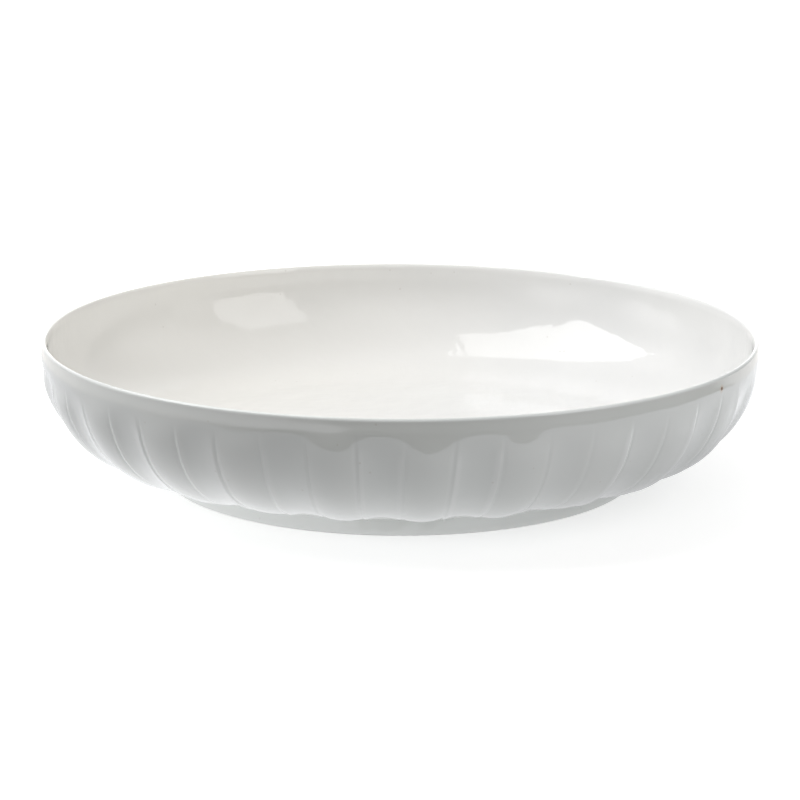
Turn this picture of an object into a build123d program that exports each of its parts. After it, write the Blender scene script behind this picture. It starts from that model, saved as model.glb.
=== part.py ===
from build123d import *
import math
import os

# A shallow serving bowl in white porcelain: a plain lip, a wall carved outside into upright
# petals, a smooth inside and a foot ring. Millimetres, +Z up, the origin on the ground at the
# bowl's axis, the front towards -Y.

# Overall size
RIM_RADIUS = 150.0
HEIGHT = 60.0
LIP_THICKNESS = 2.7
GLAZE = 0.4

# Foot ring: its glazed outside tapers in from the ground to the neck under the wall
FOOT_RADIUS = 99.3
NECK_RADIUS = 98.0
NECK_HEIGHT = 9.8
FOOT_INNER_RADIUS = 93.6
FOOT_INNER_LEAN = 0.8
FOOT_ROUNDING = 0.8
BARE_EDGE = 1.2
GLAZE_EDGE = 0.4
NECK_FILLET = 1.2
WELL_FILLET = 2.4

# Outside of the wall, a curve that leaves the neck level and reaches the lip upright; the
# powers set how full it is, and the bend where the middle of its plain first stretch lies
SHOULDER_HEIGHT = 56.0
WALL_POWER = 2.0
WALL_ROUNDNESS = 0.41
UNDERSIDE_BEND = 0.4

# Inside: a flat floor and a curve of the same kind
FLOOR_RADIUS = 97.0
FLOOR_HEIGHT = 14.9
INSIDE_TOP = 57.0
INSIDE_POWER = 1.9
INSIDE_ROUNDNESS = 0.42
INSIDE_POINTS = 12

# Petal relief: raised and hollow strips in turn, with a fine carved line where they meet.
# The line's width is in degrees of the petals' wave, which has 360 degrees to a petal.
PETALS = 25
PETAL_CENTRE = 4.5
PETAL_RELIEF = 0.8
LINE_DEPTH = 0.45
LINE_WIDTH = 15.0
RELIEF_BOTTOM = 11.0
RELIEF_FULL_FROM = 14.5
RELIEF_FULL_TO = 41.0
RELIEF_TOP = 55.0
POINTS_PER_PETAL = 12
WALL_SECTIONS = 14
SECTION_CROWDING = 1.6

lip_rounding = LIP_THICKNESS / 2
crest_radius = RIM_RADIUS - lip_rounding
lip_centre_height = HEIGHT - lip_rounding
clay_bottom = NECK_HEIGHT + GLAZE


def wall_radius(height):
    """Radius of the outside of the wall, halfway between raised and hollow strips."""
    rise = max(0.0, min(1.0, (SHOULDER_HEIGHT - height) / (SHOULDER_HEIGHT - NECK_HEIGHT)))
    return NECK_RADIUS + (RIM_RADIUS - NECK_RADIUS) * (1 - rise**WALL_POWER) ** WALL_ROUNDNESS


def wall_slope(height):
    """Angle of the wall above the level, in radians."""
    step = 0.01
    spread = wall_radius(height + step) - wall_radius(height - step)
    return math.atan2(2 * step, spread)


def ease(share):
    """A soft step from 0 to 1."""
    share = max(0.0, min(1.0, share))
    return share * share * (3 - 2 * share)


def relief_strength(height):
    """Share of the full petal relief at a height: none at the neck and at the lip."""
    from_bottom = ease((height - RELIEF_BOTTOM) / (RELIEF_FULL_FROM - RELIEF_BOTTOM))
    from_top = ease((RELIEF_TOP - height) / (RELIEF_TOP - RELIEF_FULL_TO))
    return from_bottom * from_top


def petal_relief(azimuth):
    """Height of the full relief at an azimuth in degrees: a wave with a line cut at each edge."""
    phase = (PETALS * (azimuth - PETAL_CENTRE) + 180) % 360 - 180
    wave = math.cos(math.radians(phase))
    line = math.exp(-(((abs(phase) - 90) / LINE_WIDTH) ** 2))
    return PETAL_RELIEF * (wave - LINE_DEPTH * line)


def outline_radius(azimuth, height, depth):
    """Radius of the carved wall, moved into the clay by depth along its slope."""
    slope = wall_slope(height)
    proud = relief_strength(height) * petal_relief(azimuth) - depth
    return wall_radius(height + proud * math.cos(slope)) + proud * math.sin(slope)


def petal_outline(height, depth):
    """The carved wall's outline at a height; azimuth 0 is the front and turns towards +X."""
    points = []
    for i in range(PETALS * POINTS_PER_PETAL):
        azimuth = PETAL_CENTRE + 360 * i / (PETALS * POINTS_PER_PETAL)
        radius = outline_radius(azimuth, height, depth)
        turn = math.radians(azimuth)
        points.append((radius * math.sin(turn), -radius * math.cos(turn)))
    return points


def petal_wall(depth):
    """The wall's outside as a filled solid, lofted from its outlines."""
    with BuildPart() as wall:
        for i in range(WALL_SECTIONS):
            share = (i / (WALL_SECTIONS - 1)) ** SECTION_CROWDING
            height = RELIEF_BOTTOM + (SHOULDER_HEIGHT - RELIEF_BOTTOM) * share
            with BuildSketch(Plane.XY.offset(height)):
                with BuildLine():
                    Spline(*petal_outline(height, depth), periodic=True)
                make_face()
        loft()
    return wall.part


def skin_between(outer_wall, inner_wall):
    """The skin between two lofted walls: their curved faces, closed by a ring at each end."""
    faces = []
    for wall in (outer_wall, inner_wall):
        faces += wall.faces().filter_by(GeomType.PLANE, reverse=True)
    for end in (0, -1):
        outer_end = outer_wall.faces().filter_by(GeomType.PLANE).sort_by(Axis.Z)[end]
        inner_end = inner_wall.faces().filter_by(GeomType.PLANE).sort_by(Axis.Z)[end]
        faces.append(Face(outer_end.outer_wire(), [inner_end.outer_wire()]))
    return Solid(Shell(faces))


def inside_point(share, depth):
    """A point of the inside curve, from the floor's edge to the lip, moved into the clay."""
    height = FLOOR_HEIGHT + (INSIDE_TOP - FLOOR_HEIGHT) * share
    step = 1e-4

    def radius(level):
        rise = max(0.0, min(1.0, (INSIDE_TOP - level) / (INSIDE_TOP - FLOOR_HEIGHT)))
        reach = RIM_RADIUS - LIP_THICKNESS - FLOOR_RADIUS
        return FLOOR_RADIUS + reach * (1 - rise**INSIDE_POWER) ** INSIDE_ROUNDNESS

    spread = radius(height + step) - radius(height - step)
    slope = math.atan2(2 * step, spread)
    return (radius(height) + depth * math.sin(slope), height - depth * math.cos(slope))


def inside_points(depth):
    """The inside curve's points, crowded towards the floor, where it turns most."""
    shares = [(i / INSIDE_POINTS) ** 2 for i in range(1, INSIDE_POINTS)]
    start = (FLOOR_RADIUS, FLOOR_HEIGHT - depth)
    end = (RIM_RADIUS - LIP_THICKNESS + depth, INSIDE_TOP)
    return [start] + [inside_point(share, depth) for share in shares] + [end]


def lip_points(depth):
    """Outer side, crest and inner side of the lip's half round, moved into the clay by depth."""
    rounding = lip_rounding - depth
    outer = (crest_radius + rounding, lip_centre_height)
    crest = (crest_radius, lip_centre_height + rounding)
    return outer, crest, (crest_radius - rounding, lip_centre_height)


def foot_outside(height):
    """Radius of the clay foot ring's outside under its glaze."""
    return FOOT_RADIUS - (FOOT_RADIUS - NECK_RADIUS) * height / NECK_HEIGHT - GLAZE


def foot_inside(height):
    """Radius of the clay foot ring's inside under its glaze."""
    return FOOT_INNER_RADIUS - FOOT_INNER_LEAN * height / clay_bottom


def underside(depth):
    """Start, middle and end of the short curve between the neck and the carved wall."""
    middle_height = NECK_HEIGHT + UNDERSIDE_BEND * (RELIEF_BOTTOM - NECK_HEIGHT)
    slope = wall_slope(middle_height)
    middle = (
        wall_radius(middle_height) - depth * math.sin(slope),
        middle_height + depth * math.cos(slope),
    )
    start = (NECK_RADIUS - depth, NECK_HEIGHT + depth)
    return start, middle, (outline_radius(0, RELIEF_BOTTOM, depth), RELIEF_BOTTOM)


os.makedirs("parts", exist_ok=True)

glazed_wall = petal_wall(0)
clay_wall = petal_wall(GLAZE)

# Clay body: floor, wall and lip in one piece, hollow inside
neck, bend, wall_start = underside(GLAZE)
with BuildPart() as porcelain_body:
    add(clay_wall)
    with BuildSketch(Plane.XZ):
        with BuildLine():
            Polyline((0, RELIEF_BOTTOM), (0, clay_bottom), neck)
            ThreePointArc(neck, bend, wall_start)
            Line(wall_start, (0, RELIEF_BOTTOM))
        make_face()
    revolve(axis=Axis.Z)
    with BuildSketch(Plane.XZ):
        with BuildLine():
            lip_outer, lip_crest, lip_inner = lip_points(GLAZE)
            ThreePointArc(lip_outer, lip_crest, lip_inner)
            Polyline(
                lip_inner,
                (lip_inner[0], SHOULDER_HEIGHT),
                (lip_outer[0], SHOULDER_HEIGHT),
                lip_outer,
            )
        make_face()
    revolve(axis=Axis.Z)
    with BuildSketch(Plane.XZ):
        with BuildLine():
            inside = Spline(*inside_points(GLAZE), tangents=((1, 0), (0, 1)))
            Polyline(inside @ 1, (0, INSIDE_TOP), (0, FLOOR_HEIGHT - GLAZE), inside @ 0)
        make_face()
    revolve(axis=Axis.Z, mode=Mode.SUBTRACT)
porcelain_body.part.label = "porcelain_body"
export_step(porcelain_body.part, "parts/porcelain_body.step")

# Foot ring, luted to the body's underside
with BuildPart() as foot_ring:
    with BuildSketch(Plane.XZ) as foot_sketch:
        with BuildLine():
            Polyline(
                (foot_inside(0), 0),
                (foot_outside(0), 0),
                (foot_outside(clay_bottom), clay_bottom),
                (foot_inside(clay_bottom), clay_bottom),
                close=True,
            )
        make_face()
        fillet(foot_sketch.vertices().group_by(Axis.Y)[0], radius=FOOT_ROUNDING)
    revolve(axis=Axis.Z)
foot_ring.part.label = "foot_ring"
export_step(foot_ring.part, "parts/foot_ring.step")

# Glaze over the outside, from the foot ring's bare edge up to the lip's crest
glaze_neck, glaze_bend, glaze_start = underside(0)
clay_foot = (foot_outside(BARE_EDGE), BARE_EDGE)
glaze_foot = (foot_outside(BARE_EDGE + GLAZE_EDGE) + GLAZE, BARE_EDGE + GLAZE_EDGE)
with BuildPart() as exterior_glaze:
    add(skin_between(glazed_wall, clay_wall))
    with BuildSketch(Plane.XZ) as foot_film:
        with BuildLine():
            Polyline(wall_start, glaze_start)
            ThreePointArc(glaze_start, glaze_bend, glaze_neck)
            Polyline(glaze_neck, glaze_foot, clay_foot, neck)
            ThreePointArc(neck, bend, wall_start)
        make_face()
        fillet(foot_film.vertices().sort_by_distance(glaze_neck)[0], radius=NECK_FILLET)
    revolve(axis=Axis.Z)
    with BuildSketch(Plane.XZ):
        with BuildLine():
            lip_outer, lip_crest, lip_inner = lip_points(0)
            clay_outer, clay_crest, clay_inner = lip_points(GLAZE)
            Line((lip_outer[0], SHOULDER_HEIGHT), lip_outer)
            JernArc(lip_outer, (0, 1), lip_rounding, 90)
            Line(lip_crest, clay_crest)
            JernArc(clay_crest, (1, 0), lip_rounding - GLAZE, -90)
            Polyline(
                clay_outer,
                (clay_outer[0], SHOULDER_HEIGHT),
                (lip_outer[0], SHOULDER_HEIGHT),
            )
        make_face()
    revolve(axis=Axis.Z)
exterior_glaze.part.label = "exterior_glaze"
export_step(exterior_glaze.part, "parts/exterior_glaze.step")

# Glaze over the inside, from the lip's crest down over the wall and the floor
with BuildPart() as interior_glaze:
    with BuildSketch(Plane.XZ):
        with BuildLine():
            glaze_inside = Spline(*inside_points(0), tangents=((1, 0), (0, 1)))
            Line(glaze_inside @ 1, lip_inner)
            JernArc(lip_inner, (0, 1), lip_rounding, -90)
            Line(lip_crest, clay_crest)
            JernArc(clay_crest, (-1, 0), lip_rounding - GLAZE, 90)
            Line(clay_inner, (clay_inner[0], INSIDE_TOP))
            clay_inside = Spline(*inside_points(GLAZE), tangents=((1, 0), (0, 1)))
            Polyline(
                clay_inside @ 0,
                (0, FLOOR_HEIGHT - GLAZE),
                (0, FLOOR_HEIGHT),
                glaze_inside @ 0,
            )
        make_face()
    revolve(axis=Axis.Z)
interior_glaze.part.label = "interior_glaze"
export_step(interior_glaze.part, "parts/interior_glaze.step")

# Glaze inside the foot ring: a separate patch, because the ring's edge is wiped bare
well_foot = (foot_inside(BARE_EDGE), BARE_EDGE)
well_edge = (foot_inside(BARE_EDGE + GLAZE_EDGE) - GLAZE, BARE_EDGE + GLAZE_EDGE)
well_corner = (foot_inside(NECK_HEIGHT) - GLAZE, NECK_HEIGHT)
with BuildPart() as foot_well_glaze:
    with BuildSketch(Plane.XZ) as well_film:
        with BuildLine():
            Polyline(
                well_foot,
                (foot_inside(clay_bottom), clay_bottom),
                (0, clay_bottom),
                (0, NECK_HEIGHT),
                well_corner,
                well_edge,
                close=True,
            )
        make_face()
        fillet(well_film.vertices().sort_by_distance(well_corner)[0], radius=WELL_FILLET)
    revolve(axis=Axis.Z)
foot_well_glaze.part.label = "foot_well_glaze"
export_step(foot_well_glaze.part, "parts/foot_well_glaze.step")
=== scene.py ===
"""The looks of a shallow porcelain serving bowl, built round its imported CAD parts.

Lengths in the shape code are millimetres and azimuths are degrees, measured from the
front (-Y) towards +X. They become metres where a mesh is made.
"""

import math

import bpy
import numpy as np
from mathutils import Matrix, Vector


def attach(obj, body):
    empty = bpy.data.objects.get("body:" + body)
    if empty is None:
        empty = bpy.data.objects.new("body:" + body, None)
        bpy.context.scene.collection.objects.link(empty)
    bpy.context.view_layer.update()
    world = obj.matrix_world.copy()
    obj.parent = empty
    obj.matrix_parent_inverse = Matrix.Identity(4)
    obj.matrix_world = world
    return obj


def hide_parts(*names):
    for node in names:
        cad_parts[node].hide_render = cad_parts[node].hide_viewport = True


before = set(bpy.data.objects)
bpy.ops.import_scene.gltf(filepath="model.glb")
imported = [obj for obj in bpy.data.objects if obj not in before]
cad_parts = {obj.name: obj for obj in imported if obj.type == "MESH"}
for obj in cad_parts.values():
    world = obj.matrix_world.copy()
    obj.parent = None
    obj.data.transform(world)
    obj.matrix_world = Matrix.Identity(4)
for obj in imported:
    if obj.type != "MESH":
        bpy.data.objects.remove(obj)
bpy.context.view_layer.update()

MM = 0.001
GLAZE = 0.4

# ---------------------------------------------------------------- the bowl's section
LIP_CENTRE = (148.65, 58.65)
LIP_ROUNDING = 1.35
INNER_LIP_HEIGHT = 56.4
NECK_RADIUS = 98.0
NECK_HEIGHT = 9.8
SHOULDER_HEIGHT = 56.0
WALL_RISE = 46.2
WALL_SPREAD = 52.0
WALL_ROUNDNESS = 0.82
INSIDE_TOP = 57.0
INSIDE_RISE = 42.1
FLOOR_RADIUS = 97.0
FLOOR_HEIGHT = 14.9
INSIDE_SPREAD = 50.3
INSIDE_ROUNDNESS = 0.84
INSIDE_RISE_POWER = 2 / 1.9
FOOT_RADIUS = 99.3
FOOT_LEAN = 1.3
GLAZE_ENDS = 0.7
NECK_FILLET = 1.6
CLAY_BOTTOM = 10.2
SECTION_STEPS = 3000
FLOOR_STEPS = 400

# ---------------------------------------------------------------- the petals outside
# Across one petal the phase runs from -180 to 180, with a carved line near -90 and 90.
PETALS = 25
PETAL_CENTRE = 4.5
PETAL_RELIEF = 0.8
PETAL_FULLNESS = 0.8
PETALS_FROM = 10.6
PETALS_TO = 55
LINE_PHASE = 89
LINE_GROOVE = 0.12
LINE_BEAD = 0.32
BEAD_PHASE = 13
COLUMNS_PER_PETAL = 32
CLAY_COLUMNS_PER_PETAL = 20


def ease(t):
    """0 below 0, 1 above 1, and a smooth step between."""
    t = np.clip(t, 0, 1)
    return t * t * (3 - 2 * t)


def bell(distance, width):
    """A smooth hump, 1 at its middle."""
    return np.exp(-((distance / width) ** 2))


def arc(start, end, count):
    """Points on the lip's rounding, from one angle above the horizon to another."""
    angles = np.radians(np.linspace(start, end, count))
    return np.c_[
        LIP_CENTRE[0] + LIP_ROUNDING * np.cos(angles),
        LIP_CENTRE[1] + LIP_ROUNDING * np.sin(angles),
    ]


def outside_section():
    """The outside of the bowl from the lip's crest down to where the glaze ends on the foot."""
    angle = np.linspace(math.pi / 2, 0, SECTION_STEPS)[1:]
    wall = np.c_[
        NECK_RADIUS + WALL_SPREAD * np.sin(angle) ** WALL_ROUNDNESS,
        SHOULDER_HEIGHT - WALL_RISE * np.cos(angle),
    ]
    wall = wall[wall[:, 0] > NECK_RADIUS + NECK_FILLET]
    corner = np.array([NECK_RADIUS, NECK_HEIGHT])
    lean = np.array([FOOT_LEAN, -NECK_HEIGHT]) / math.hypot(FOOT_LEAN, NECK_HEIGHT)
    below = corner + NECK_FILLET * lean
    t = np.linspace(0, 1, 40)[1:, None]
    fillet = (1 - t) ** 2 * wall[-1] + 2 * t * (1 - t) * corner + t**2 * below
    end = np.array([FOOT_RADIUS - FOOT_LEAN * GLAZE_ENDS / NECK_HEIGHT, GLAZE_ENDS])
    foot = below + (end - below) * np.linspace(0, 1, 60)[1:, None]
    turn = np.radians(np.linspace(0, 90, 12)[1:])
    edge = end + GLAZE * np.c_[np.cos(turn) - 1, -np.sin(turn)]
    return np.vstack([arc(90, 0, 60), wall, fillet, foot, edge])


def inside_section():
    """The inside of the bowl from the lip's crest down and across the floor to its middle."""
    angle = np.linspace(math.pi / 2, 0, SECTION_STEPS)[1:]
    wall = np.c_[
        FLOOR_RADIUS + INSIDE_SPREAD * np.sin(angle) ** INSIDE_ROUNDNESS,
        INSIDE_TOP - INSIDE_RISE * np.cos(angle) ** INSIDE_RISE_POWER,
    ]
    wall = wall[wall[:, 1] < INNER_LIP_HEIGHT]
    reach, start = wall[0]
    turn = np.radians(np.linspace(90, 180, 90)[:-1])
    crest = LIP_CENTRE[1] + LIP_ROUNDING
    lip = np.c_[
        LIP_CENTRE[0] + (LIP_CENTRE[0] - reach) * np.cos(turn),
        start + (crest - start) * np.sin(turn),
    ]
    across = np.linspace(FLOOR_RADIUS, 0, FLOOR_STEPS)[1:]
    floor = np.c_[across, np.full(len(across), FLOOR_HEIGHT)]
    return np.vstack([lip, wall, floor])


def along(section):
    """How far along the section each of its points is."""
    steps = np.hypot(*np.diff(section, axis=0).T)
    return np.concatenate([[0], np.cumsum(steps)])


def rows_of(section, places):
    """Points of a section at these distances along it, and the direction to its left there."""
    s = along(section)
    r = np.interp(places, s, section[:, 0])
    z = np.interp(places, s, section[:, 1])
    a = np.maximum(places - 0.03, 0)
    b = np.minimum(places + 0.03, s[-1])
    dr = np.interp(b, s, section[:, 0]) - np.interp(a, s, section[:, 0])
    dz = np.interp(b, s, section[:, 1]) - np.interp(a, s, section[:, 1])
    size = np.hypot(dr, dz)
    return np.c_[r, z, -dz / size, dr / size]


def spread_places(stops):
    """Distances along a section from (start, step) pairs; the last pair only ends it."""
    found = []
    for (start, step), (stop, _) in zip(stops, stops[1:]):
        count = max(1, round((stop - start) / step))
        found.append(np.linspace(start, stop, count, endpoint=False))
    return np.concatenate([*found, [stops[-1][0]]])


def petal_columns():
    """Azimuths round the outside, closest together where the carved lines are."""
    phase = np.linspace(-180, 180, 4001)
    density = 1 + 3.2 * bell(np.abs(phase) - 90, 17)
    share = np.cumsum(density)
    share = (share - share[0]) / (share[-1] - share[0])
    wanted = np.arange(COLUMNS_PER_PETAL) / COLUMNS_PER_PETAL
    one = np.interp(wanted, share, phase) / PETALS
    starts = PETAL_CENTRE + np.arange(PETALS) * 360 / PETALS
    return (starts[:, None] + one[None, :]).ravel()


# Each petal differs a little, as hand work does, and has a carved line at either side.
HAND = np.random.default_rng(41)
FRONT_PETALS = [-1, 0, 1]
DEEP_LINES = (slice(2, 5), 1)
petal_strength = HAND.uniform(0.86, 1.12, PETALS)
line_strength = HAND.uniform(0.7, 1.25, (PETALS, 2))
line_side = np.ones((PETALS, 2))
# Three lines at the right are deeper, with their bead on the other side.
line_strength[DEEP_LINES] = 2.2
line_side[DEEP_LINES] = -1
petal_strength[FRONT_PETALS] *= 1.2
line_strength[FRONT_PETALS] *= 0.85
line_wander = HAND.uniform(-0.16, 0.16, (PETALS, 2))
petal_top = HAND.uniform(-1.6, 1.6, PETALS)


def petal_relief(azimuth, z):
    """How far the petals stand out of the wall, and how far the carved lines alone do.

    Both are along the wall's normal, by azimuth and height.
    """
    turn = (azimuth - PETAL_CENTRE) * PETALS / 360
    which = np.round(turn).astype(int)
    phase = (turn - which) * 360
    which = which % PETALS
    side = (phase > 0).astype(int)
    blend = 0.5 - 0.5 * np.cos(np.radians(phase))
    beside = (which + np.where(side == 1, 1, -1)) % PETALS
    own = petal_strength[which] * (1 - blend / 2) + petal_strength[beside] * blend / 2
    top = petal_top[which] * (1 - blend / 2) + petal_top[beside] * blend / 2
    strength = ease((z - PETALS_FROM) / 2.8) * ease((PETALS_TO + top - z) / 13)
    drift = line_wander[which, side] * PETALS * np.sin((z - 14) / 11)
    from_line = (np.abs(phase) - LINE_PHASE - drift) * line_side[which, side]
    from_bead = from_line - BEAD_PHASE
    bead = bell(from_bead, np.where(from_bead < 0, 8.5, 27))
    line = LINE_GROOVE * bell(from_line + 2, 7) - LINE_BEAD * bead
    line = line_strength[which, side] * line
    wave = np.cos(np.radians(phase))
    swell = PETAL_RELIEF * np.sign(wave) * np.abs(wave) ** PETAL_FULLNESS
    swell = swell * np.where(swell < 0, 0.55 + 0.45 * ease((z - 14) / 10), 1)
    return strength * own * (swell - line), -strength * own * line


LIP_DRAWN_IN = 0.32
DENT_DEPTH = 0.9
DENT_HEIGHT = 48
KILN_LEAN = 0.95


def lip_draw(z):
    """The wall draws in a little over its last few millimetres, so the lip looks soft."""
    return -LIP_DRAWN_IN * ease((z - 53.6) / 5.2)


def wall_waver(azimuth, z):
    """Slow unevenness of a hand-finished wall, nothing at the lip and the foot."""
    a = np.radians(azimuth)
    waves = (
        0.10 * np.sin(3 * a + 0.8 + z / 31)
        + 0.06 * np.sin(7 * a + 2.1 - z / 13)
        + 0.035 * np.sin(17 * a + 0.3 + z / 9)
    )
    return waves * ease((z - 11) / 5) * ease((57.5 - z) / 6)


def side_dent(azimuth, z):
    """A shallow thumb-wide dent under the lip on the left."""
    across = ease((azimuth + 102) / 14) * ease((-56 - azimuth) / 14)
    return -DENT_DEPTH * across * bell(z - DENT_HEIGHT, 4.6)


# Beads of glaze: azimuth, height and size.
NIBS = (
    (11.4, 20.0, 0.30),
    (20.6, 12.6, 0.40),
    (8.6, 11.6, 0.45),
    (10.2, 12.2, 0.35),
    (-6.0, 11.8, 0.40),
    (-12.3, 12.9, 0.40),
    (-16.1, 11.6, 0.40),
    (-20.3, 12.8, 0.35),
)
NIB_WIDTH = 0.8
NIB_FLATNESS = 1.6


def glaze_nibs(azimuth, z, r):
    """Small beads of glaze on and near the scalloped edge at the front."""
    total = 0
    for at, height, size in NIBS:
        aside = np.radians(azimuth - at) * r
        above = (z - height) * NIB_FLATNESS
        total = total + size * bell(np.hypot(aside, above), NIB_WIDTH)
    return total


def wrapped(azimuth):
    """The azimuth from -180 to 180."""
    return (azimuth + 180) % 360 - 180


def sway(points):
    """Moves the wall between the foot and the lip a little to the left, as the kiln left it."""
    z = points[..., 2]
    lean = np.clip((58.6 - z) / 48, 0, 1) * ease((z - 10.4) / 2.5)
    points[..., 0] -= KILN_LEAN * lean
    return points


def outside_grid(rows, azimuth, depth):
    """Points of the outside, depth below the glaze's face, by row and column."""
    r, z, nr, nz = (rows[:, i, None] for i in range(4))
    a = wrapped(azimuth)[None, :]
    petals, _ = petal_relief(a, z)
    proud = petals + wall_waver(a, z) + side_dent(a, z) + lip_draw(z) * nr - depth
    if depth == 0:
        proud = proud + glaze_nibs(a, z, r)
    return around(r + proud * nr, z + proud * nz, azimuth)


def inside_grid(rows, azimuth, depth):
    """Points of the inside, depth below the glaze's face, by row and column."""
    r, z, nr, nz = (rows[:, i, None] for i in range(4))
    a = np.radians(azimuth)[None, :]
    waver = 0.05 * np.sin(2 * a + 0.5 + z / 17) + 0.03 * np.sin(5 * a + 1.9 - z / 8)
    waver = waver * ease((57 - z) / 12) * ease((r - 60) / 40)
    proud = waver - depth
    return around(r + proud * nr, z + proud * nz, azimuth)


def around(r, z, azimuth):
    """Row and column points from radii, heights and azimuths."""
    a = np.radians(azimuth)[None, :]
    return np.stack([r * np.sin(a), -r * np.cos(a), z + 0 * a], -1)


# ---------------------------------------------------------------- meshes
def ring_mesh(name, grid, start_pole=None, end_pole=None, sharp_rows=()):
    """A closed smooth mesh from rings of points.

    Without poles the last ring joins the first. The rings in sharp_rows are creases.
    """
    n_rows, n_cols = grid.shape[:2]
    points = grid.reshape(-1, 3) * MM
    col = np.arange(n_cols)
    nxt = (col + 1) % n_cols
    quads = []
    count = n_rows - 1 if start_pole is not None else n_rows
    for i in range(count):
        here, below = i * n_cols, (i + 1) % n_rows * n_cols
        quads.append(np.c_[here + col, below + col, below + nxt, here + nxt])
    faces = np.vstack(quads).tolist()
    if start_pole is not None:
        first, last = len(points), len(points) + 1
        points = np.vstack([points, np.array([start_pole, end_pole]) * MM])
        faces += np.c_[np.full(n_cols, first), col, nxt].tolist()
        end = (n_rows - 1) * n_cols
        faces += np.c_[np.full(n_cols, last), end + nxt, end + col].tolist()
    mesh = bpy.data.meshes.new(name)
    mesh.from_pydata(points.tolist(), [], faces)
    mesh.update()
    mesh.shade_smooth()
    if sharp_rows:
        sharp = np.zeros(len(mesh.edges), bool)
        ends = np.zeros(len(mesh.edges) * 2, int)
        mesh.edges.foreach_get("vertices", ends)
        ends = ends.reshape(-1, 2)
        row = np.where(ends < n_rows * n_cols, ends // n_cols, -1)
        for k in sharp_rows:
            sharp |= (row[:, 0] == k % n_rows) & (row[:, 1] == k % n_rows)
        flag = mesh.attributes.new("sharp_edge", "BOOLEAN", "EDGE")
        flag.data.foreach_set("value", sharp)
    obj = bpy.data.objects.new(name, mesh)
    bpy.context.scene.collection.objects.link(obj)
    return obj


def float_attribute(obj, name, values):
    """Keeps one number per vertex for the material to read."""
    full = np.zeros(len(obj.data.vertices), np.float32)
    full[: values.size] = values.ravel()
    obj.data.attributes.new(name, "FLOAT", "POINT").data.foreach_set("value", full)


outside = outside_section()
inside = inside_section()
outside_length = along(outside)[-1]
inside_length = along(inside)[-1]
lip_quarter = LIP_ROUNDING * math.pi / 2

columns = petal_columns()
face_places = spread_places(
    [
        (0, 0.04),
        (0.08, 0.25),
        (lip_quarter, 0.9),
        (16, 1.15),
        (outside_length - 24, 0.9),
        (outside_length - 11, 0.3),
        (outside_length - 8, 1.1),
        (outside_length - 0.6, 0.15),
        (outside_length, 1),
    ]
)
face_rows = rows_of(outside, face_places)
# The glaze's hidden back needs fewer rows than its face.
back_rows = face_rows[-5:6:-7]
outside_face = outside_grid(face_rows, columns, 0)
outside_back = outside_grid(back_rows, columns, GLAZE)
crest_back = outside_grid(face_rows[:1], columns, GLAZE)
glaze_outside = ring_mesh(
    "glaze_outside",
    sway(np.vstack([outside_face, outside_back, crest_back])),
    sharp_rows=(0, len(outside_face) - 1),
)
relief_now, carving = petal_relief(wrapped(columns)[None, :], face_rows[:, 1, None])
float_attribute(glaze_outside, "relief", relief_now)
float_attribute(glaze_outside, "carving", carving)

SMOOTH_COLUMNS = 400
smooth_columns = np.arange(SMOOTH_COLUMNS) * (360 / SMOOTH_COLUMNS)
inside_places = spread_places(
    [
        (0, 0.04),
        (0.08, 0.3),
        (5, 0.8),
        (14, 1.3),
        (inside_length - 100, 2),
        (inside_length - 80, 5),
        (inside_length - 2, 1),
    ]
)
inside_rows = rows_of(inside, inside_places)
inside_rows[:, 2:] *= -1
inside_face = inside_grid(inside_rows, smooth_columns, 0)
back_of_inside = np.vstack([inside_rows[:1], inside_rows[6:-1:3], inside_rows[-1:]])
inside_back = inside_grid(back_of_inside, smooth_columns, GLAZE)
middle = sway(np.array([[0.0, 0.0, FLOOR_HEIGHT], [0.0, 0.0, FLOOR_HEIGHT - GLAZE]]))
glaze_inside = ring_mesh(
    "glaze_inside",
    sway(np.vstack([inside_face[::-1], inside_back])),
    start_pole=middle[0],
    end_pole=middle[1],
    sharp_rows=(len(inside_face) - 1,),
)

# The fired clay between the glazes, on a flat bottom where the foot ring is luted on.
clay_count = PETALS * CLAY_COLUMNS_PER_PETAL
clay_columns = np.arange(clay_count) * 360 / clay_count + PETAL_CENTRE
on_wall = face_rows[face_places < outside_length - 10.5]
clay_wall = np.vstack([on_wall[:1], on_wall[8:-1:2]])
clay_outside = outside_grid(clay_wall, clay_columns, GLAZE)
radii = np.array([98.5, 92, 80, 60, 30, 3.0])[:, None]
clay_underside = around(radii, np.full_like(radii, CLAY_BOTTOM), clay_columns)
clay_inside_rows = np.vstack([inside_rows[6:-1:2], inside_rows[-1:]])
clay_inside = inside_grid(clay_inside_rows, clay_columns, GLAZE)
clay_body = ring_mesh(
    "clay_body",
    sway(np.vstack([clay_inside[::-1], clay_outside, clay_underside])),
    start_pole=middle[1],
    end_pole=(0, 0, CLAY_BOTTOM),
    sharp_rows=(len(clay_inside) + len(clay_outside),),
)

for piece, node, slot in (
    (glaze_outside, "exterior_glaze", "outside_glaze"),
    (glaze_inside, "interior_glaze", "inside_glaze"),
    (clay_body, "porcelain_body", "porcelain_clay"),
):
    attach(piece, "root")
    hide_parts(node)


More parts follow.
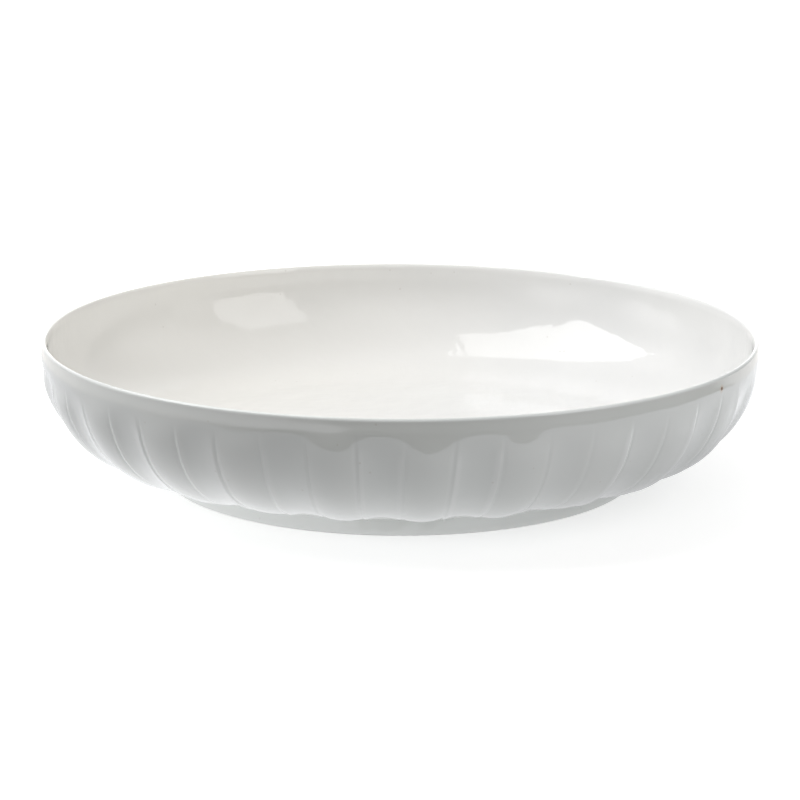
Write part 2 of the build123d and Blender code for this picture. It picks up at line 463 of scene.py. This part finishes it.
# ---------------------------------------------------------------- materials
class Nodes:
    """Adds shader nodes to one material and joins them."""

    def __init__(self, owner):
        """Empties the node tree of a material or world."""
        owner.use_nodes = True
        self.tree = owner.node_tree
        self.tree.nodes.clear()

    def add(self, kind, inputs=None, **settings):
        """A new node with these settings and inputs."""
        node = self.tree.nodes.new(kind)
        for key, value in settings.items():
            setattr(node, key, value)
        for key, value in (inputs or {}).items():
            self.feed(node, key, value)
        return node

    def feed(self, node, key, value):
        """Links a socket to an input, or sets the input to a plain value."""
        if isinstance(value, bpy.types.NodeSocket):
            self.tree.links.new(value, node.inputs[key])
        else:
            node.inputs[key].default_value = value

    def noise(self, where, scale, detail=2.0, roughness=0.5):
        """Smooth noise from 0 to 1."""
        inputs = {"Vector": where, "Scale": scale, "Detail": detail, "Roughness": roughness}
        return self.add("ShaderNodeTexNoise", inputs).outputs["Fac"]

    def spread(self, value, low, high, to_low=0.0, to_high=1.0):
        """Maps low..high to to_low..to_high, and holds still outside."""
        inputs = {0: value, 1: low, 2: high, 3: to_low, 4: to_high}
        return self.add("ShaderNodeMapRange", inputs).outputs[0]

    def mix(self, share, first, second):
        """The first colour where share is 0, the second where it is 1."""
        node = self.add("ShaderNodeMix", data_type="RGBA")
        self.feed(node, 0, share)
        self.feed(node, 6, first)
        self.feed(node, 7, second)
        return node.outputs[2]

    def bump(self, height, strength, distance, normal=None):
        """A normal tilted by a height, on top of another normal if there is one."""
        inputs = {"Strength": strength, "Distance": distance, "Height": height}
        node = self.add("ShaderNodeBump", inputs)
        if normal is not None:
            self.feed(node, "Normal", normal)
        return node.outputs["Normal"]

    def scalar(self, operation, *values):
        """The number that one Math node gives."""
        inputs = dict(enumerate(values))
        return self.add("ShaderNodeMath", inputs, operation=operation).outputs[0]

    def vector(self, operation, *values):
        """The vector that one Vector Math node gives."""
        inputs = dict(enumerate(values))
        return self.add("ShaderNodeVectorMath", inputs, operation=operation).outputs[0]

    def length(self, vector):
        """The length of a vector."""
        node = self.add("ShaderNodeVectorMath", {0: vector}, operation="LENGTH")
        return node.outputs["Value"]


SPECK_AT = (0.1272, -0.0795, 0.0552)
SPECK_RAGGED = (0.0006,) * 3
SPECK_RECENTRE = (0.0003,) * 3
RUST = (0.62, 0.33, 0.12, 1)
IRON = (0.16, 0.045, 0.012, 1)


def iron_speck(n, where, colour):
    """One rust-brown speck fired into the glaze under the lip at the right, with its halo."""
    rough = n.add("ShaderNodeTexNoise", {"Vector": where, "Scale": 900, "Detail": 2}).outputs[1]
    off = n.vector("SUBTRACT", where, SPECK_AT)
    off = n.vector("MULTIPLY_ADD", rough, SPECK_RAGGED, off)
    off = n.vector("SUBTRACT", off, SPECK_RECENTRE)
    away = n.length(off)
    colour = n.mix(n.spread(away, 0.0021, 0.0005, 0, 0.4), colour, RUST)
    return n.mix(n.spread(away, 0.0009, 0.0005, 0, 1), colour, IRON)


# A darker, bluer tint for the hollows between the petals: partly pooled glaze, partly painted
# shade.
POOLED_GLAZE_AND_SHADE = (0.72, 0.75, 0.755, 1)
# A paler white for the raised carved beads: partly thin glaze, partly a painted highlight.
THIN_GLAZE_AND_HIGHLIGHT = (0.95, 0.96, 0.96, 1)
PINHOLE = (0.60, 0.57, 0.52, 1)


def glazed(name, thin, thick, relief=False, painted_warm_light=None, ripple=0.3):
    """White porcelain under a clear glaze: tone, pooling, faint peel and a few pinholes.

    relief adds what follows the petals: a darker, bluer tint in the hollows that is partly
    pooled glaze and partly painted shade, a paler white on the carved beads that is partly
    thin glaze and partly a painted highlight, and the speck. A warm colour given for the
    inside is painted warm light on its left and back wall, where warm bounced light falls.
    """
    material = bpy.data.materials.new(name)
    n = Nodes(material)
    where = n.add("ShaderNodeTexCoord").outputs["Object"]
    cloud = n.spread(n.noise(where, 22, 3), 0.35, 0.65)
    colour = n.mix(cloud, thin, thick)
    if relief:
        # Painted shade: the hollows between the petals are darkened, on top of the pooled glaze
        # there.
        relief_height = n.add("ShaderNodeAttribute", attribute_name="relief").outputs["Fac"]
        share = n.spread(relief_height, 0.2, -0.8, 0, 0.12)
        colour = n.mix(share, colour, POOLED_GLAZE_AND_SHADE)
        # Painted highlight: the raised carved beads are whitened, on top of their thinner
        # glaze.
        bead = n.add("ShaderNodeAttribute", attribute_name="carving").outputs["Fac"]
        colour = n.mix(n.spread(bead, 0.2, 0.65, 0, 0.75), colour, THIN_GLAZE_AND_HIGHLIGHT)
    # Painted warm light: the left and back of the inside are warmed, where warm bounced light
    # falls.
    if painted_warm_light is not None:
        x, y, _ = n.add("ShaderNodeSeparateXYZ", {0: where}).outputs
        across = n.scalar("MULTIPLY_ADD", y, -0.6, x)
        across = n.scalar("MULTIPLY_ADD", n.noise(where, 9, 2), 0.06, across)
        colour = n.mix(n.spread(across, 0.05, -0.13), colour, painted_warm_light)
    if relief:
        colour = iron_speck(n, where, colour)
    grains = n.add("ShaderNodeTexVoronoi", {"Vector": where, "Scale": 95})
    pin = n.spread(grains.outputs["Distance"], 0.035, 0.055, 0.3, 0)
    colour = n.mix(pin, colour, PINHOLE)
    peel = n.bump(n.noise(where, 420, 2), 0.05, 0.0004)
    normal = n.bump(n.noise(where, 60, 2), ripple, 0.0006, peel)
    rough = n.spread(n.noise(where, 55, 3), 0.3, 0.7, 0.34, 0.46)
    shader = n.add(
        "ShaderNodeBsdfPrincipled",
        {
            "Base Color": colour,
            "Roughness": rough,
            "Normal": normal,
            "Coat Normal": normal,
            "Specular IOR Level": 0.15,
            "IOR": 1.5,
            "Coat Weight": 1.0,
            "Coat Roughness": 0.02,
            "Coat IOR": 1.52,
        },
    )
    out = n.add("ShaderNodeOutputMaterial")
    n.feed(out, "Surface", shader.outputs[0])
    return material


def bisque(name, light, dark):
    """Bare fired clay: matt, fine-grained, a little soiled."""
    material = bpy.data.materials.new(name)
    n = Nodes(material)
    where = n.add("ShaderNodeTexCoord").outputs["Object"]
    colour = n.mix(n.spread(n.noise(where, 60, 4), 0.3, 0.7), light, dark)
    grain = n.noise(where, 1800, 3, 0.6)
    colour = n.mix(n.spread(grain, 0.55, 0.75, 0, 0.25), colour, (0.55, 0.52, 0.47, 1))
    shader = n.add(
        "ShaderNodeBsdfPrincipled",
        {
            "Base Color": colour,
            "Roughness": n.spread(grain, 0.3, 0.7, 0.62, 0.8),
            "Normal": n.bump(grain, 0.35, 0.0003),
            "Specular IOR Level": 0.3,
        },
    )
    out = n.add("ShaderNodeOutputMaterial")
    n.feed(out, "Surface", shader.outputs[0])
    return material


def wear(obj, material):
    """Gives an object one material."""
    obj.data.materials.clear()
    obj.data.materials.append(material)


outside_white = glazed(
    "outside_glaze",
    (0.812, 0.828, 0.816, 1),
    (0.792, 0.813, 0.80, 1),
    relief=True,
)
wear(glaze_outside, outside_white)
# The inside's warm colour below is painted warm light on its left and back wall.
inside_white = glazed(
    "inside_glaze",
    (0.856, 0.857, 0.849, 1),
    (0.834, 0.836, 0.829, 1),
    painted_warm_light=(0.859, 0.843, 0.800, 1),
    ripple=0.55,
)
wear(glaze_inside, inside_white)
underside = glazed("underside_glaze", (0.85, 0.85, 0.84, 1), (0.81, 0.82, 0.82, 1))
wear(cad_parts["foot_well_glaze"], underside)
bare = bisque("bare_foot", (0.84, 0.835, 0.82, 1), (0.78, 0.775, 0.755, 1))
wear(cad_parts["foot_ring"], bare)
wear(clay_body, bisque("porcelain_clay", (0.84, 0.83, 0.80, 1), (0.80, 0.79, 0.76, 1)))


# ---------------------------------------------------------------- the stage
# In metres. The camera sees the floor, and the bowl sees a table in its place.
KEY_LIGHT = 4.7
FILL_LIGHT = 2.1
FLOOR_WHITE = 0.8
FLOOR_GLOW = 0.45
STAGE_REACH = 6
TABLE_LIFT = 0.0002
TABLE_FRONT = 0.255
TABLE_RADIUS = 0.313
EDGE_BLUR = 0.0015
ROOM_DARK = ((0.02, 0.02, 0.018, 1), (0.02, 0.02, 0.018, 1))
ROOM_SEEN = ((1.2, 1.18, 1.15, 1), (0.10, 0.09, 0.01, 1))
# Soft lights all round: azimuth, elevation, narrowness and strength.
SKY_PARTS = (
    (180, 45, 3, 0.5),
    (180, 8, 8, 2.0),
    (-135, 8, 8, 0.3),
    (0, 45, 8, 1.1),
    (90, 45, 8, 0.8),
    (-105, 60, 8, 0.8),
    (75, 8, 40, 0.8),
    (105, 25, 30, 0.6),
    (-55, 8, 40, 1.4),
    (-90, 8, 40, 1.4),
    (-105, 8, 40, 0.9),
    (-120, 35, 30, 0.9),
)
SKY_TINT = (1.0, 0.998, 0.992, 1)


def level_square(height):
    """The corners of a level square as wide as the stage."""
    corners = ((-1, -1), (1, -1), (1, 1), (-1, 1))
    return [(x * STAGE_REACH, y * STAGE_REACH, height) for x, y in corners]


def card(name, corners, material):
    """A flat four-cornered sheet of the stage."""
    mesh = bpy.data.meshes.new(name)
    mesh.from_pydata(corners, [], [(0, 1, 2, 3)])
    obj = bpy.data.objects.new(name, mesh)
    bpy.context.scene.collection.objects.link(obj)
    obj.data.materials.append(material)
    return obj


def floor_material():
    """Pale paper, lit a little from within so that it stays nearly white."""
    material = bpy.data.materials.new("floor_paper")
    n = Nodes(material)
    where = n.add("ShaderNodeTexCoord").outputs["Object"]
    tone = n.spread(n.noise(where, 9, 3), 0.3, 0.7)
    colour = n.mix(tone, (FLOOR_WHITE,) * 3 + (1,), (FLOOR_WHITE * 1.02,) * 3 + (1,))
    inputs = {"Base Color": colour, "Roughness": 0.9, "Specular IOR Level": 0.0}
    inputs["Emission Color"] = (1, 1, 1, 1)
    inputs["Emission Strength"] = FLOOR_GLOW
    shader = n.add("ShaderNodeBsdfPrincipled", inputs)
    n.feed(n.add("ShaderNodeOutputMaterial"), "Surface", shader.outputs[0])
    return material


def table_material(name, near, far, beyond, tint):
    """A table top that the bowl sees and the camera does not, and the room past its edges.

    near and far are its glow beside the bowl and further off, each at the left and at the
    right. beyond is the room's, at the left and behind, and at the front right. The table
    is clear from below.
    """
    material = bpy.data.materials.new(name)
    n = Nodes(material)
    geometry = n.add("ShaderNodeNewGeometry").outputs
    where = geometry["Position"]
    x, y, _ = n.add("ShaderNodeSeparateXYZ", {0: where}).outputs
    away = n.length(where)
    front = n.spread(y, -TABLE_FRONT - EDGE_BLUR, -TABLE_FRONT + EDGE_BLUR)
    round_edge = n.spread(away, TABLE_RADIUS + EDGE_BLUR, TABLE_RADIUS - EDGE_BLUR)
    on_table = n.scalar("MULTIPLY", front, round_edge)
    close = n.spread(x, -0.11, 0.11, near[0], near[1])
    distant = n.spread(x, -0.09, 0.07, far[0], far[1])
    level = n.mix(n.spread(away, 0.14, 0.20), close, distant)
    front_right = n.scalar("MULTIPLY", n.spread(x, -0.33, -0.19), n.spread(y, 0.10, 0.04))
    room = n.mix(front_right, beyond[0], beyond[1])
    tinted = n.add("ShaderNodeVectorMath", {0: tint, "Scale": level}, operation="SCALE")
    colour = n.mix(on_table, room, tinted.outputs[0])
    glow = n.add("ShaderNodeEmission", {"Color": colour})
    clear = n.add("ShaderNodeBsdfTransparent")
    mixed = n.add("ShaderNodeMixShader", {0: geometry["Backfacing"]})
    n.feed(mixed, 1, glow.outputs[0])
    n.feed(mixed, 2, clear.outputs[0])
    n.feed(n.add("ShaderNodeOutputMaterial"), "Surface", mixed.outputs[0])
    return material


def glow_material(name, colour, strength, edge_share):
    """An even light, dimmer at one end by edge_share."""
    material = bpy.data.materials.new(name)
    n = Nodes(material)
    where = n.add("ShaderNodeTexCoord").outputs["Generated"]
    x = n.add("ShaderNodeSeparateXYZ", {0: where}).outputs[0]
    level = n.spread(x, 0, 1, strength, strength * edge_share)
    shader = n.add("ShaderNodeEmission", {"Color": colour, "Strength": level})
    n.feed(n.add("ShaderNodeOutputMaterial"), "Surface", shader.outputs[0])
    return material


floor = card("floor", level_square(0), floor_material())
floor.visible_diffuse = False
floor.visible_glossy = False
for name, near, far, room, tint in (
    ("table_light", (1.05, 0.56), (0.15, 0.45), ROOM_DARK, (1, 1, 1)),
    ("table_shine", (1.05, 0.56), (1.0, 1.2), ROOM_SEEN, (1.0, 1.012, 1.03)),
):
    table = card(name, level_square(TABLE_LIFT), table_material(name, near, far, room, tint))
    table.visible_camera = False
    table.visible_shadow = False
    table.visible_diffuse = name == "table_light"
    table.visible_glossy = name == "table_shine"
key = card(
    "key_softbox",
    [(-0.17, 0.61, 1.53), (-1.09, 0.68, 0.92), (-1.25, -0.37, 0.85), (-0.33, -0.26, 1.45)],
    glow_material("key_glow", (1, 1, 1, 1), KEY_LIGHT, 0.56),
)
fill = card(
    "fill_softbox",
    [(1.37, -0.46, 0.33), (0.96, -1.10, 0.31), (0.68, -0.72, 1.25), (1.01, -0.25, 1.24)],
    glow_material("fill_glow", (1, 1, 1, 1), FILL_LIGHT, 1.0),
)
for softbox in (key, fill):
    softbox.visible_camera = False

# Plain white walls round the floor's edge, which only the camera sees.
backdrop_white = glow_material("backdrop_white", (1, 1, 1, 1), 1.0, 1.0)
backdrop_white.cycles.emission_sampling = "NONE"
along_floor = [(side * STAGE_REACH, STAGE_REACH, 0) for side in (-1, 1)]
along_top = [(side * STAGE_REACH, STAGE_REACH, STAGE_REACH) for side in (1, -1)]
for quarter in range(4):
    spin = Matrix.Rotation(quarter * math.pi / 2, 4, "Z")
    corners = [spin @ Vector(corner) for corner in along_floor + along_top]
    wall = card(f"backdrop_{quarter}", corners, backdrop_white)
    wall.visible_diffuse = False
    wall.visible_glossy = False
    wall.visible_transmission = False
    wall.visible_shadow = False

world = bpy.data.worlds.new("studio")
bpy.context.scene.world = world
sky = Nodes(world)
direction = sky.add("ShaderNodeTexCoord").outputs["Generated"]
level = 0.0
for azimuth, elevation, narrow, strength in SKY_PARTS:
    turn, up = math.radians(azimuth), math.radians(elevation)
    axis = (math.sin(turn) * math.cos(up), -math.cos(turn) * math.cos(up), math.sin(up))
    toward = {0: direction, 1: axis}
    facing = sky.add("ShaderNodeVectorMath", toward, operation="DOT_PRODUCT").outputs["Value"]
    part = sky.scalar("POWER", sky.scalar("MAXIMUM", facing, 0.0), narrow)
    level = sky.scalar("MULTIPLY_ADD", part, strength, level)
background = sky.add("ShaderNodeBackground", {"Color": SKY_TINT, "Strength": level})
sky.feed(sky.add("ShaderNodeOutputWorld"), "Surface", background.outputs[0])

# ---------------------------------------------------------------- camera
TARGET_HEIGHT = 0.03086
CAMERA_DISTANCE = 1.2854
CAMERA_ELEVATION = math.radians(13.731)
CAMERA_ROLL = math.radians(0.179)
LENS_LENGTH = 137.07
SENSOR_WIDTH = 36

camera_data = bpy.data.cameras.new("camera")
camera_data.lens = LENS_LENGTH
camera_data.sensor_width = SENSOR_WIDTH
camera = bpy.data.objects.new("camera", camera_data)
bpy.context.scene.collection.objects.link(camera)
bpy.context.scene.camera = camera
tilt = Matrix.Rotation(math.pi / 2 - CAMERA_ELEVATION, 4, "X")
roll = Matrix.Rotation(CAMERA_ROLL, 4, "Z")
back = Vector((0, -math.cos(CAMERA_ELEVATION), math.sin(CAMERA_ELEVATION)))
place = Vector((0, 0, TARGET_HEIGHT)) + CAMERA_DISTANCE * back
camera.matrix_world = Matrix.Translation(place) @ tilt @ roll

bpy.context.scene.view_settings.view_transform = "Standard"
